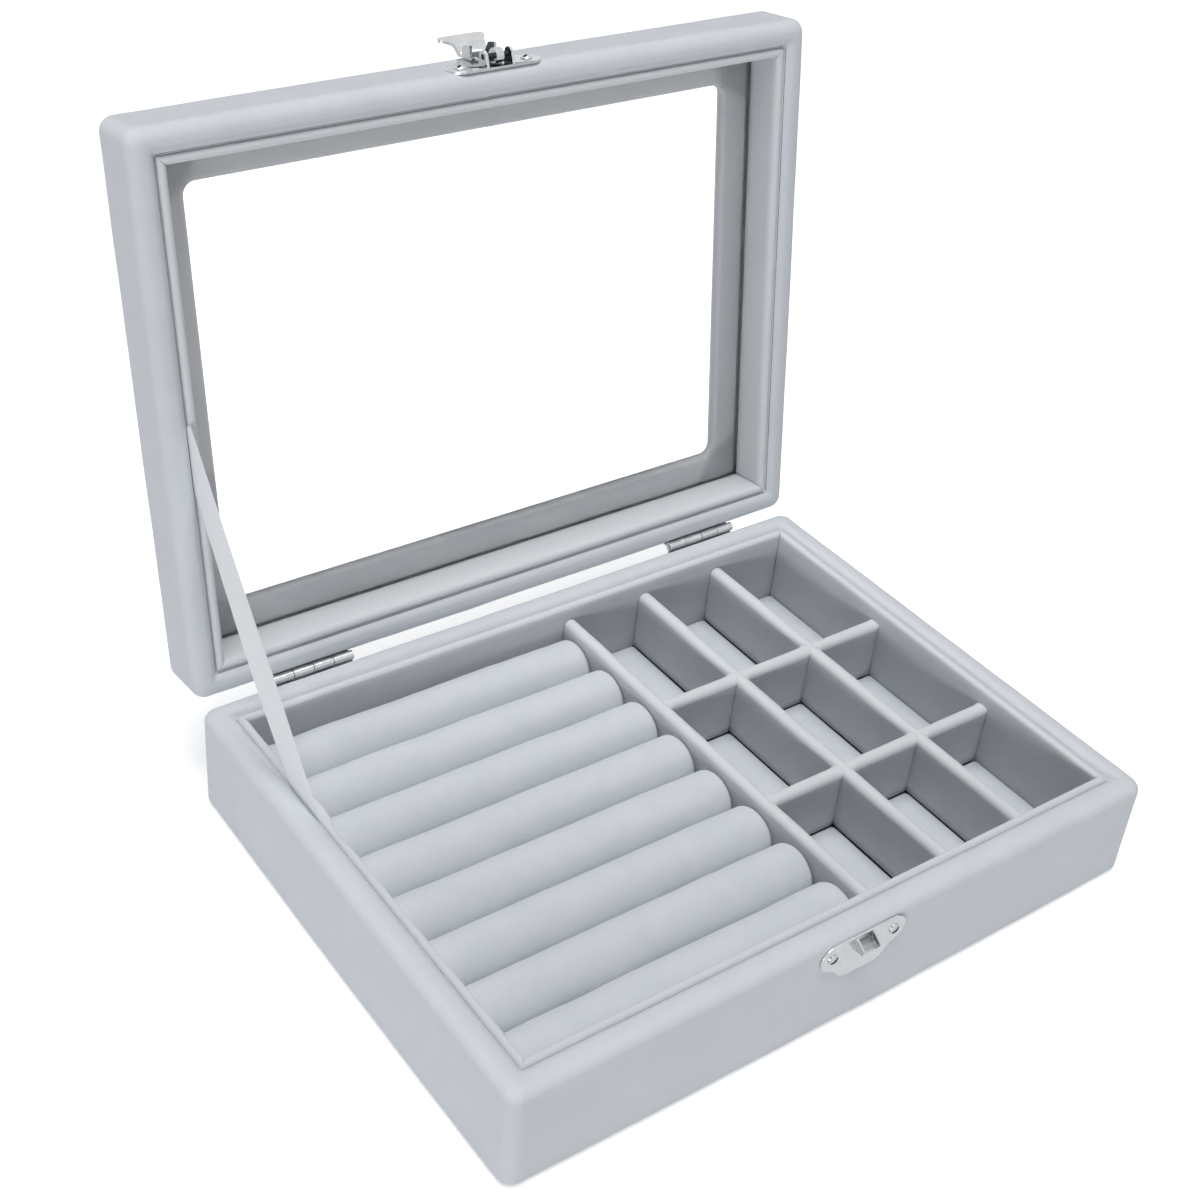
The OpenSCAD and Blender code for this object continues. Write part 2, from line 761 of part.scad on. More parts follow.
base_board(FRONT);  // base_front_board
base_board(RIGHT);  // base_right_board
base_board(BACK);  // base_back_board
base_board(LEFT);  // base_left_board
base_velvet();
base_bottom_board();
base_under_sheet();
base_lining(FRONT);  // base_front_lining
base_lining(RIGHT);  // base_right_lining
base_lining(BACK);  // base_back_lining
base_lining(LEFT);  // base_left_lining
roll_card();
ring_roll(1);  // ring_roll_1
ring_roll(2);  // ring_roll_2
ring_roll(3);  // ring_roll_3
ring_roll(4);  // ring_roll_4
ring_roll(5);  // ring_roll_5
ring_roll(6);  // ring_roll_6
ring_roll(7);  // ring_roll_7
ring_roll(8);  // ring_roll_8
main_divider();
cell_floor_pad();
long_cell_divider(1);  // cell_divider_left
long_cell_divider(2);  // cell_divider_right
cross_cell_divider(1);  // cell_divider_front
cross_cell_divider(2);  // cell_divider_back
catch_plate();
catch_screws();
hinge_leaf(-1, false, [0, 2]);  // left_hinge_base_leaf
hinge_leaf(1, false, [0, 2]);  // right_hinge_base_leaf
hinge_pin(-1);  // left_hinge_pin
hinge_pin(1);  // right_hinge_pin
hinge_base_screws();
lid_board(FRONT);  // lid_front_board
lid_board(RIGHT);  // lid_right_board
lid_board(BACK);  // lid_back_board
lid_board(LEFT);  // lid_left_board
lid_velvet();
window_board();
glass_pane();
lid_lining(FRONT);  // lid_front_lining
lid_lining(RIGHT);  // lid_right_lining
lid_lining(BACK);  // lid_back_lining
lid_lining(LEFT);  // lid_left_lining
opened() hinge_leaf(-1, true, [1, 3]);  // left_hinge_lid_leaf
opened() hinge_leaf(1, true, [1, 3]);  // right_hinge_lid_leaf
hinge_lid_screws();
clasp_lid_plate();
clasp_lid_screws();
clasp_tongue();
clasp_pin();
ribbon_stay();
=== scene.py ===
import math

import bmesh
import bpy
import numpy as np
from mathutils import Matrix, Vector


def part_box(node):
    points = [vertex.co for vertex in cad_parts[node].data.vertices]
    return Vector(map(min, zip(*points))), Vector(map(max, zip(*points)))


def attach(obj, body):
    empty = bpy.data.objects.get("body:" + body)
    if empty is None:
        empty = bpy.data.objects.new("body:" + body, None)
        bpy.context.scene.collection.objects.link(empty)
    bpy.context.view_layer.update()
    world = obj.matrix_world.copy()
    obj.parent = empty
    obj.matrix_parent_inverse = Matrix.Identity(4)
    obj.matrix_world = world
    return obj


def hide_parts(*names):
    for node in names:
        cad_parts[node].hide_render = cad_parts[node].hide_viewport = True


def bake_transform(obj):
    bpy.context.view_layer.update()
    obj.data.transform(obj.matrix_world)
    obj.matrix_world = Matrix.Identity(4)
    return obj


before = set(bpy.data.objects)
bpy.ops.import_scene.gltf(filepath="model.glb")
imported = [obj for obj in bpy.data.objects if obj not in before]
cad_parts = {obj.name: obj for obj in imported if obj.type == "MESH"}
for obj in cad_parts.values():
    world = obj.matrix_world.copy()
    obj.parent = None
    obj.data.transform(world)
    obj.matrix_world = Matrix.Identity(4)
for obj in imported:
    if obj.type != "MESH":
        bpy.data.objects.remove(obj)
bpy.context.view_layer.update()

# Sizes in millimetres, with the lid as if it were shut: the case, and the heights of its surfaces
CASE_W, CASE_D, BASE_H = 200.0, 150.0, 31.0
UNDERSIDE, TRAY_FLOOR = 0.6, 3.6
LID_RIM, LID_TOP = 31.4, 50.0
PANE_IN, PANE_OUT = 43.8, 45.8
# Insets from the outside of the case: the wall, the groove beside it, the lining cards and the window
WALL_IN = 6.5
RIM_TURN, GROOVE_FACE, GROOVE_DEEP = 5.3, 6.98, 1.7
CARD_OUT, CARD_IN, CARD_DROP = 7.0, 9.4, 0.8
WINDOW_IN, FACING_OUT = 18.0, 9.6
# The hinge pins, and how far the lid stands open
PIN_Y, PIN_Z = 75.4, 31.2
LID_OPEN = math.radians(98.0)
# The clasp: its plates, their screws, and the height of the tongue's pin
PLATE_T, EAR_X, CATCH_EAR_Z, LID_EAR_Z = 0.7, 9.8, 24.8, 36.1
TONGUE_Z = 34.6
SLOT_TURN = math.radians(35.0)
# The ribbon: its plane, its section, what is tucked in, and its ends as (Y, Z) in each groove
RIBBON_X, RIBBON_W, RIBBON_T, RIBBON_TUCK = -93.25, 14.4, 0.3, 8.0
RIBBON_FOOT, RIBBON_HEAD = (28.0, 31.0), (7.0, 31.4)
# How uneven the wrap's velvet is, and how far the walls of the base and the lid bow out
WRAP_WAVES, BASE_BOW, LID_BOW = 0.07, 0.8, 0.35
FRONT, RIGHT, BACK, LEFT = range(4)


# Shapes: points on grids, in millimetres

def swung(points):
    """Turns what is drawn on the shut lid about the hinge pins, to where the lid stands open."""
    y, z = points[..., 1] - PIN_Y, points[..., 2] - PIN_Z
    c, s = math.cos(LID_OPEN), math.sin(LID_OPEN)
    return np.stack([points[..., 0], PIN_Y + y * c + z * s, PIN_Z - y * s + z * c], -1)


def shut(points):
    """Turns what stands on the open lid back to where it lies on the shut one."""
    y, z = points[..., 1] - PIN_Y, points[..., 2] - PIN_Z
    c, s = math.cos(LID_OPEN), math.sin(LID_OPEN)
    return np.stack([points[..., 0], PIN_Y + y * c - z * s, PIN_Z + y * s + z * c], -1)


def shut_way(ways):
    """Turns directions, such as normals, as the lid turns when it shuts."""
    return shut(ways) - shut(np.zeros((1, 3)))


def waves(points, size, seed):
    """Smooth waves from about -1 to 1: the mean of nine sines along seeded directions, near one wavelength."""
    random = np.random.default_rng(seed)
    ways = random.normal(size=(9, 3))
    ways /= np.linalg.norm(ways, axis=1, keepdims=True)
    ways *= 2 * math.pi / (size * random.uniform(0.6, 1.5, (9, 1)))
    return 2 * np.sin(points @ ways.T + random.uniform(0, 2 * math.pi, 9)).mean(-1)


def grid_normals(points, rows_closed, columns_closed):
    """Unit normals of a grid: the cross product of its central differences along rows and columns."""
    def slope(axis, closed):
        if closed:
            return np.roll(points, -1, axis) - np.roll(points, 1, axis)
        return np.gradient(points, axis=axis)
    n = np.cross(slope(0, rows_closed), slope(1, columns_closed))
    return n / np.maximum(np.linalg.norm(n, axis=-1, keepdims=True), 1e-9)


def rounded_line(corners, radii, steps=7):
    """Polyline with round corners: each inner corner becomes an arc that touches both of its sides."""
    corners = np.array(corners, float)
    out = [corners[0]]
    for before, corner, after, r in zip(corners, corners[1:], corners[2:], radii):
        a, b = before - corner, after - corner
        a, b = a / np.linalg.norm(a), b / np.linalg.norm(b)
        half = math.acos(np.clip(a @ b, -1, 1)) / 2
        if r <= 0 or half > 1.56:
            out.append(corner)
            continue
        middle = corner + (a + b) / np.linalg.norm(a + b) * r / math.sin(half)
        first = corner + a * r / math.tan(half) - middle
        last = corner + b * r / math.tan(half) - middle
        turn = math.atan2(first[0] * last[1] - first[1] * last[0], first @ last)
        t = np.linspace(0, turn, steps)[:, None]
        cross = np.array([-first[1], first[0]])
        out.extend(middle + first * np.cos(t) + cross * np.sin(t))
    out.append(corners[-1])
    return np.array(out)


def even_line(line, step):
    """Adds points to a polyline so that no stretch is longer than a step, and keeps its own points."""
    lengths = np.linalg.norm(np.diff(line, axis=0), axis=1)
    counts = np.maximum(np.ceil(lengths / step).astype(int), 1)
    parts = [a + (b - a) * np.linspace(0, 1, n, endpoint=False)[:, None]
             for a, b, n in zip(line, line[1:], counts)]
    return np.concatenate(parts + [line[-1:]])


def ring_sweep(profile, corner_r, half=(CASE_W / 2, CASE_D / 2), centre=(0, 0), side_n=60, arc_n=11):
    """A profile of insets and heights carried round a rectangle with round corners.

    Each profile point (d, z) gives one closed ring: the rectangle drawn in by d, at the height z, with four
    quarter circles of its own corner radius and points evenly along the four straight sides between them.
    """
    d, z = np.asarray(profile, float).T
    r = np.broadcast_to(np.asarray(corner_r, float), d.shape)
    signs = np.array([[1, -1], [1, 1], [-1, 1], [-1, -1]])
    angles = np.linspace(-math.pi / 2, 0, arc_n) + np.arange(4)[:, None] * math.pi / 2
    middles = signs * (np.array(half) - d[:, None, None] - r[:, None, None]) + np.array(centre)
    arcs = middles[:, :, None, :] + r[:, None, None, None] * np.stack([np.cos(angles), np.sin(angles)], -1)
    t = np.linspace(0, 1, side_n + 2)[1:-1, None]
    ends, starts = arcs[:, :, -1:, :], np.roll(arcs, -1, 1)[:, :, :1, :]
    plan = np.concatenate([arcs, ends + (starts - ends) * t], 2).reshape(len(d), -1, 2)
    heights = np.broadcast_to(z[:, None, None], plan.shape[:2] + (1,))
    return np.concatenate([plan, heights], -1)


def shrink_to_middle(grid, steps=4, bulge=0.0):
    """Closes both ends of a grid of rings: each end ring shrinks to its middle, bulging out a little."""
    def cap(ring, inner):
        middle = ring.mean(0)
        out = middle - inner.mean(0)
        out /= max(np.linalg.norm(out), 1e-9)
        f = np.linspace(1, 0, steps + 1)[1:, None, None]
        return middle + (ring - middle) * f + out * bulge * (1 - f * f)
    return np.concatenate([cap(grid[0], grid[1])[::-1], grid, cap(grid[-1], grid[-2])])


def soft_bar(start, end, middle, half, foot, top, end_r, bulge, rows=72):
    """Bar along X with a flat foot, upright sides and a half round crown, and soft round ends.

    Its section at x is the width 2 * (half - e) and the height top - e, where the inset e follows a quarter
    circle of radius end_r near each end. The end faces bulge out a little.
    """
    turn = np.linspace(math.pi / 2, 0, 9)
    near = end_r * (1 - np.sin(turn))
    run = np.linspace(start + end_r, end - end_r, rows)
    x = np.concatenate([start + near, run[1:-1], (end - near)[::-1]])
    e = np.concatenate([end_r * (1 - np.cos(turn)), np.zeros(rows - 2), end_r * (1 - np.cos(turn))[::-1]])[:, None]
    e = np.minimum(e, half * 0.98)
    arc = np.linspace(math.pi, 0, 33)[None, :]
    up = np.linspace(0, 1, 9)[None, :-1]
    springing = top - half
    y = np.concatenate([-(half - e) + 0 * up, (half - e) * np.cos(arc), (half - e) + 0 * up,
                        (half - e) * np.linspace(1, -1, 7)[None, 1:-1]], 1)
    z = np.concatenate([foot + (springing - foot) * up + 0 * e, springing + (half - e) * np.sin(arc),
                        springing + (foot - springing) * (up + 1 / 8) + 0 * e, foot + 0 * e + np.zeros((1, 5))], 1)
    grid = np.stack([np.broadcast_to(x[:, None], y.shape), middle + y, z], -1)
    return shrink_to_middle(grid, 5, bulge)


def side_card(side, foot, lip, pad=0.25, gap=0.02):
    """Lining card along one side of the case, with mitred ends and a round velvet lip.

    Its profile of insets and heights is carried along the side. A point at the inset d runs from corner to
    corner of the rectangle drawn in by d, so the ends are cut at 45 degrees, and the face swells by pad.
    """
    rise = 1 if lip > foot else -1
    line = rounded_line([(CARD_OUT, foot), (CARD_OUT, lip), (CARD_IN, lip), (CARD_IN, foot)], (1.15, 1.2), 9)
    profile = even_line(np.concatenate([line, line[:1]]), 1.6)[:-1]
    d, z = profile.T
    share = np.clip((z - foot) / (lip - foot), 0, 1)
    d = d + np.where(d > CARD_IN - 0.01, pad * np.sin(math.pi * np.minimum(share / 0.93, 1)), 0)
    along, reach = (CASE_W / 2, CASE_D / 2) if side in (FRONT, BACK) else (CASE_D / 2, CASE_W / 2)
    near = np.array([0, 0.12, 0.3, 0.6, 1.0, 1.6])
    t = np.concatenate([near, np.linspace(2.5, 2 * along - 2.5, 90), 2 * along - near[::-1]])
    s = (t / along - 1)[:, None]
    edge = np.minimum(t, 2 * along - t)[:, None]
    ease = 0.25 * (1 - np.sqrt(np.clip(1 - (1 - np.minimum(edge / 0.6, 1)) ** 2, 0, 1)))
    inner = np.clip((d - CARD_OUT) / (CARD_IN - CARD_OUT), 0, 1)[None, :]
    d = d[None, :] - ease * inner
    x = s * (along - d - gap)
    y = d - reach
    z = np.broadcast_to(z[None, :], x.shape) - rise * ease * share[None, :] * 0.6
    c, n = [(1, 0), (0, 1), (-1, 0), (0, -1)][side]
    return shrink_to_middle(np.stack([x * c - y * n, x * n + y * c, z], -1), 2)


def waved_card(card, seed):
    """A lining card whose velvet is uneven in height by small waves."""
    return card + 0.05 * waves(card, 26.0, seed)[..., None] * np.array([0, 0, 1])


def painted_top_light(points, top, deep):
    """Share of painted light, for a top lit from above: 1 at the height top, and 0 from the depth deep below it."""
    share = np.clip(1 - (top - points[..., 2]) / deep, 0, 1)
    return share * share * (3 - 2 * share)


def floor_cushion(low, high, foot, top, crown):
    """Padded floor: rings of a soft cornered rectangle go up its side, round its edge and in to its middle line.

    The height rises from the edge to the middle by crown, as a sine of the distance in.
    """
    half = (np.array(high) - np.array(low)) / 2
    deep = half.min()
    line = rounded_line([(deep * 0.6, foot), (0, foot), (0, top - crown), (1.4, top - crown)], (0.3, 0.7), 7)
    t = np.linspace(0, 1, 14)[1:, None]
    inside = np.concatenate([1.4 + (deep - 1.4) * t, top - crown + crown * np.sin(t * math.pi / 2)], 1)
    profile = np.concatenate([[(deep, foot)], line, inside])
    room = np.maximum(deep - profile[:, 0], 0)
    middle = (np.array(high) + np.array(low)) / 2
    return ring_sweep(profile, np.minimum(room, 1.0), half, middle, 14, 5)


# Meshes

def grid_faces(rows, columns, rows_closed, columns_closed):
    """Four cornered faces between neighbouring points of a grid, in the order that faces them out."""
    i = np.arange(rows if rows_closed else rows - 1)[:, None]
    j = np.arange(columns if columns_closed else columns - 1)[None, :]
    i2, j2 = (i + 1) % rows, (j + 1) % columns
    corners = [i * columns + j, i2 * columns + j, i2 * columns + j2, i * columns + j2]
    return np.stack(corners, -1).reshape(-1, 4)


def piece(name, grids, finish, body, stands_for=(), rows_closed=False, painted_shading=None):
    """Makes one mesh from grids of points in millimetres, closes its seams and turns its faces outwards.

    The share of painted light or shade at each point, from 0 to 1, is kept on the mesh for the velvet.
    """
    points, faces, count = [], [], 0
    for grid in grids:
        points.append(grid.reshape(-1, 3) * 0.001)
        faces.append(grid_faces(grid.shape[0], grid.shape[1], rows_closed, True) + count)
        count += len(points[-1])
    points, faces = np.concatenate(points), np.concatenate(faces)
    mesh = bpy.data.meshes.new(name)
    mesh.vertices.add(len(points))
    mesh.vertices.foreach_set("co", points.ravel())
    mesh.loops.add(faces.size)
    mesh.loops.foreach_set("vertex_index", faces.ravel())
    mesh.polygons.add(len(faces))
    mesh.polygons.foreach_set("loop_start", np.arange(0, faces.size, 4))
    mesh.update(calc_edges=True)
    if painted_shading is not None:
        mesh.attributes.new("painted_shading", "FLOAT", "POINT").data.foreach_set("value", painted_shading.ravel())
    shell = bmesh.new()
    shell.from_mesh(mesh)
    bmesh.ops.remove_doubles(shell, verts=shell.verts, dist=2e-6)
    bmesh.ops.recalc_face_normals(shell, faces=shell.faces)
    shell.to_mesh(mesh)
    shell.free()
    mesh.polygons.foreach_set("use_smooth", np.ones(len(mesh.polygons), bool))
    mesh.materials.append(finish)
    made = bpy.data.objects.new(name, mesh)
    bpy.context.scene.collection.objects.link(made)
    if body:
        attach(made, body)
    if stands_for:
        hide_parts(*stands_for)
    return made


SHARP = math.radians(35.0)


def eased_copy(node, finish, body, width):
    """Copy of a fitting's solid with its sharp edges rounded, as stamped and plated metal has them."""
    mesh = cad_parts[node].data.copy()
    shell = bmesh.new()
    shell.from_mesh(mesh)
    bmesh.ops.remove_doubles(shell, verts=shell.verts, dist=1e-6)
    bmesh.ops.dissolve_limit(shell, angle_limit=math.radians(0.6), verts=shell.verts, edges=shell.edges)
    shell.to_mesh(mesh)
    shell.free()
    mesh.polygons.foreach_set("use_smooth", np.ones(len(mesh.polygons), bool))
    mesh.set_sharp_from_angle(angle=SHARP)
    mesh.materials.clear()
    mesh.materials.append(finish)
    made = bpy.data.objects.new(node + "_eased", mesh)
    bpy.context.scene.collection.objects.link(made)
    bevel = made.modifiers.new("round edges", "BEVEL")
    bevel.width = width * 0.001
    bevel.segments = 2
    bevel.limit_method = "ANGLE"
    bevel.angle_limit = SHARP
    bevel.harden_normals = True
    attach(made, body)
    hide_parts(node)
    return made


def shade_faces(made, finish, chosen):
    """Paints shade: gives a second, darker finish to the faces that a test chooses by their middles, in millimetres,
    and normals.
    """
    mesh = made.data
    middles, normals = np.zeros((2, len(mesh.polygons) * 3))
    mesh.polygons.foreach_get("center", middles)
    mesh.polygons.foreach_get("normal", normals)
    mesh.materials.append(finish)
    inside = chosen(middles.reshape(-1, 3) * 1000, normals.reshape(-1, 3))
    mesh.polygons.foreach_set("material_index", inside.astype(np.int32))


# Materials

def linear(red, green, blue):
    """A colour written in 0 to 255 as the shader wants it."""
    c = np.array([red, green, blue]) / 255
    return tuple(np.where(c <= 0.04045, c / 12.92, ((c + 0.055) / 1.055) ** 2.4)) + (1.0,)


def node_in(tree, kind, settings=None, **sockets):
    """Adds a node, sets its properties, and sets or links its inputs by name."""
    node = tree.nodes.new(kind)
    for key, value in (settings or {}).items():
        setattr(node, key, value)
    for key, value in sockets.items():
        socket = node.inputs[key.replace("_", " ")]
        if isinstance(value, bpy.types.NodeSocket):
            tree.links.new(value, socket)
        else:
            socket.default_value = value
    return node


def maths(tree, operation, *values, clamp=False):
    """Adds a node that works out one number, sets or links its inputs in order, and gives its result."""
    node = node_in(tree, "ShaderNodeMath", {"operation": operation, "use_clamp": clamp})
    for socket, value in zip(node.inputs, values):
        if isinstance(value, bpy.types.NodeSocket):
            tree.links.new(value, socket)
        else:
            socket.default_value = value
    return node.outputs[0]


def effect_group(name, inputs, outputs):
    """An empty shader group with named inputs, given as (name, kind, value), and named outputs."""
    group = bpy.data.node_groups.new(name, "ShaderNodeTree")
    for label, kind, value in inputs:
        socket = group.interface.new_socket(label, in_out="INPUT", socket_type=kind)
        if value is not None:
            socket.default_value = value
    for label, kind in outputs:
        group.interface.new_socket(label, in_out="OUTPUT", socket_type=kind)
    return group, group.nodes.new("NodeGroupInput"), group.nodes.new("NodeGroupOutput")


def pile_group():
    """Short pile: tone patches where it leans, fine speckle, and the height of its fibres."""
    group, given, result = effect_group(
        "velvet pile",
        [("Colour", "NodeSocketColor", None), ("Shaded Colour", "NodeSocketColor", None),
         ("Patch Scale", "NodeSocketFloat", 90.0), ("Fibre Scale", "NodeSocketFloat", 3600.0),
         ("Speckle", "NodeSocketFloat", 0.25)],
        [("Colour", "NodeSocketColor"), ("Roughness", "NodeSocketFloat"), ("Height", "NodeSocketFloat")])
    place = node_in(group, "ShaderNodeTexCoord").outputs["Object"]
    lean = node_in(group, "ShaderNodeTexNoise", Vector=place, Scale=given.outputs["Patch Scale"],
                   Detail=3.0, Roughness=0.55, Distortion=0.6)
    fibre = node_in(group, "ShaderNodeTexNoise", Vector=place, Scale=given.outputs["Fibre Scale"],
                    Detail=2.0, Roughness=0.6)
    tuft = node_in(group, "ShaderNodeTexVoronoi", Vector=place, Scale=given.outputs["Fibre Scale"])
    leaning = node_in(group, "ShaderNodeMapRange", Value=lean.outputs["Fac"],
                      From_Min=0.35, From_Max=0.68, To_Min=0.0, To_Max=1.0)
    speckled = maths(group, "MULTIPLY", fibre.outputs["Fac"], given.outputs["Speckle"])
    share = maths(group, "ADD", leaning.outputs["Result"], speckled, clamp=True)
    tone = group.nodes.new("ShaderNodeMix")
    tone.data_type = "RGBA"
    group.links.new(share, tone.inputs["Factor"])
    group.links.new(given.outputs["Shaded Colour"], tone.inputs[6])
    group.links.new(given.outputs["Colour"], tone.inputs[7])
    rough = node_in(group, "ShaderNodeMapRange", Value=lean.outputs["Fac"],
                    From_Min=0.3, From_Max=0.7, To_Min=0.88, To_Max=0.96)
    height = maths(group, "ADD", fibre.outputs["Fac"], tuft.outputs["Distance"])
    group.links.new(tone.outputs[2], result.inputs["Colour"])
    group.links.new(rough.outputs["Result"], result.inputs["Roughness"])
    group.links.new(height, result.inputs["Height"])
    return group


def new_material(name):
    """A material with one surface shader, returned with its tree and that shader."""
    finish = bpy.data.materials.new(name)
    finish.use_nodes = True
    tree = finish.node_tree
    return finish, tree, tree.nodes["Principled BSDF"]


PILE = pile_group()


def velvet(name, colour, shaded, patch, bump=0.25, sheen=0.35, painted_shading=None):
    """Short pile velvet: the pile group's tones, a fine bump, and a soft sheen at grazing angles.

    Where a painted shading colour is given, the tones turn to it by the share that the mesh carries: painted light on
    tops and lips, painted shade in the facing's corners.
    """
    finish, tree, skin = new_material(name)
    pile = tree.nodes.new("ShaderNodeGroup")
    pile.node_tree = PILE
    pile.inputs["Colour"].default_value = linear(*colour)
    pile.inputs["Shaded Colour"].default_value = linear(*shaded)
    pile.inputs["Patch Scale"].default_value = patch
    relief = node_in(tree, "ShaderNodeBump", Height=pile.outputs["Height"], Strength=bump, Distance=0.0001)
    tone = pile.outputs["Colour"]
    if painted_shading:
        # Painted light or shade: the tone turns to the painted shading colour by the share on the mesh
        share = node_in(tree, "ShaderNodeAttribute", {"attribute_name": "painted_shading"}).outputs["Fac"]
        lighter = tree.nodes.new("ShaderNodeMix")
        lighter.data_type = "RGBA"
        lighter.inputs[7].default_value = linear(*painted_shading)
        tree.links.new(share, lighter.inputs["Factor"])
        tree.links.new(tone, lighter.inputs[6])
        tone = lighter.outputs[2]
    tree.links.new(tone, skin.inputs["Base Color"])
    tree.links.new(pile.outputs["Roughness"], skin.inputs["Roughness"])
    tree.links.new(relief.outputs["Normal"], skin.inputs["Normal"])
    skin.inputs["Sheen Weight"].default_value = sheen
    skin.inputs["Sheen Roughness"].default_value = 0.45
    skin.inputs["Sheen Tint"].default_value = linear(236, 240, 246)
    skin.inputs["Specular IOR Level"].default_value = 0.15
    return finish


def plated_metal(name, colour, rough):
    """Bright nickel plate: faint polishing streaks and cloudy wear in its roughness."""
    finish, tree, skin = new_material(name)
    place = node_in(tree, "ShaderNodeTexCoord").outputs["Object"]
    cloud = node_in(tree, "ShaderNodeTexNoise", Vector=place, Scale=420.0, Detail=4.0, Roughness=0.6)
    stretch = node_in(tree, "ShaderNodeMapping", Vector=place, Scale=(220.0, 2600.0, 2600.0))
    streak = node_in(tree, "ShaderNodeTexNoise", Vector=stretch.outputs["Vector"], Scale=1.0, Detail=2.0)
    dull = node_in(tree, "ShaderNodeMapRange", Value=cloud.outputs["Fac"],
                   From_Min=0.3, From_Max=0.75, To_Min=rough * 0.7, To_Max=rough * 1.7)
    tone = node_in(tree, "ShaderNodeValToRGB", Fac=cloud.outputs["Fac"])
    tone.color_ramp.elements[0].position, tone.color_ramp.elements[0].color = 0.3, linear(*[c * 0.94 for c in colour])
    tone.color_ramp.elements[1].position, tone.color_ramp.elements[1].color = 0.7, linear(*colour)
    relief = node_in(tree, "ShaderNodeBump", Height=streak.outputs["Fac"], Strength=0.06, Distance=0.00002)
    tree.links.new(tone.outputs["Color"], skin.inputs["Base Color"])
    tree.links.new(dull.outputs["Result"], skin.inputs["Roughness"])
    tree.links.new(relief.outputs["Normal"], skin.inputs["Normal"])
    skin.inputs["Metallic"].default_value = 1.0
    return finish


def satin_ribbon():
    """Satin: fine cross ribs from the ribbon's own map, woven edges, and a soft sheen."""
    finish, tree, skin = new_material("satin ribbon")
    across = node_in(tree, "ShaderNodeUVMap", {"uv_map": "weave"}).outputs["UV"]
    ribs = node_in(tree, "ShaderNodeTexWave", {"wave_type": "BANDS", "bands_direction": "Y", "wave_profile": "SIN"},
                   Vector=across, Scale=110.0, Distortion=0.25, Detail=1.0)
    apart = node_in(tree, "ShaderNodeSeparateXYZ", Vector=across)
    tone = node_in(tree, "ShaderNodeValToRGB", Fac=apart.outputs["X"])
    stops = tone.color_ramp.elements
    stops[0].position, stops[0].color = 0.0, linear(218, 222, 227)
    stops[1].position, stops[1].color = 0.06, linear(230, 233, 237)
    far = stops.new(0.94)
    far.color = linear(230, 233, 237)
    last = stops.new(1.0)
    last.color = linear(218, 222, 227)
    rough = node_in(tree, "ShaderNodeMapRange", Value=ribs.outputs["Fac"],
                    From_Min=0.0, From_Max=1.0, To_Min=0.38, To_Max=0.52)
    relief = node_in(tree, "ShaderNodeBump", Height=ribs.outputs["Fac"], Strength=0.12, Distance=0.00005)
    tree.links.new(tone.outputs["Color"], skin.inputs["Base Color"])
    tree.links.new(rough.outputs["Result"], skin.inputs["Roughness"])
    tree.links.new(relief.outputs["Normal"], skin.inputs["Normal"])
    skin.inputs["Sheen Weight"].default_value = 0.25
    skin.inputs["Specular IOR Level"].default_value = 0.4
    return finish


def clear_glass():
    """Clear float glass with the faintest waviness."""
    finish, tree, skin = new_material("clear glass")
    place = node_in(tree, "ShaderNodeTexCoord").outputs["Object"]
    wave = node_in(tree, "ShaderNodeTexNoise", Vector=place, Scale=14.0, Detail=1.0)
    relief = node_in(tree, "ShaderNodeBump", Height=wave.outputs["Fac"], Strength=0.01, Distance=0.0004)
    tree.links.new(relief.outputs["Normal"], skin.inputs["Normal"])
    skin.inputs["Base Color"].default_value = (1.0, 1.0, 1.0, 1.0)
    skin.inputs["Roughness"].default_value = 0.0
    skin.inputs["IOR"].default_value = 1.45
    skin.inputs["Transmission Weight"].default_value = 1.0
    return finish


def fibre_board(name, dark, light, scale):
    """Pressed grey board or paper: short pulp fibres in two tones."""
    finish, tree, skin = new_material(name)
    place = node_in(tree, "ShaderNodeTexCoord").outputs["Object"]
    pulp = node_in(tree, "ShaderNodeTexNoise", Vector=place, Scale=scale, Detail=6.0, Roughness=0.7)
    tone = node_in(tree, "ShaderNodeValToRGB", Fac=pulp.outputs["Fac"])
    tone.color_ramp.elements[0].position, tone.color_ramp.elements[0].color = 0.35, linear(*dark)
    tone.color_ramp.elements[1].position, tone.color_ramp.elements[1].color = 0.65, linear(*light)
    relief = node_in(tree, "ShaderNodeBump", Height=pulp.outputs["Fac"], Strength=0.2, Distance=0.0002)
    tree.links.new(tone.outputs["Color"], skin.inputs["Base Color"])
    tree.links.new(relief.outputs["Normal"], skin.inputs["Normal"])
    skin.inputs["Roughness"].default_value = 0.92
    return finish


WRAP_VELVET = velvet("wrap velvet", (206, 210, 215), (202, 206, 212), 60.0)
# Lining and divider velvet: a darker tone than the wrap's, painted shade for the walls in the cells, with painted
# light on their tops and lips
CARD_VELVET = velvet("lining velvet", (190, 193, 197), (186, 189, 194), 80.0, painted_shading=(208, 211, 215))
# The lid's front lining, which faces down with the lid open: a darker copy of the lining velvet, painted shade, with
# painted light at its lip
SHADED_VELVET = velvet("lining velvet, painted shade", (172, 175, 180), (168, 171, 176), 80.0, painted_shading=(214, 217, 221))
# The window's facing: its corner patches are painted darker, painted shade
FACING_VELVET = velvet("facing velvet", (184, 187, 191), (180, 183, 188), 80.0, painted_shading=(154, 157, 162))
ROLL_VELVET = velvet("roll velvet", (205, 209, 214), (200, 205, 211), 90.0)
PLATED = plated_metal("nickel plate", (206, 208, 210), 0.2)
# A darker plate for the hollow in the catch's nose: painted shade
NOSE_SHADE_METAL = plated_metal("painted shade in the nose", (140, 143, 146), 0.3)
# Near black plate for the screw slots, the lugs' and the tongue's insides and the clasp's pin: painted shade
SLOT_SHADE_METAL = plated_metal("painted shade in the slots", (60, 62, 64), 0.34)
SATIN = satin_ribbon()
GLASS = clear_glass()
BOARD = fibre_board("grey board", (112, 108, 102), (146, 142, 134), 900.0)
PAPER = fibre_board("under sheet", (188, 190, 193), (208, 210, 212), 1500.0)


# Camera

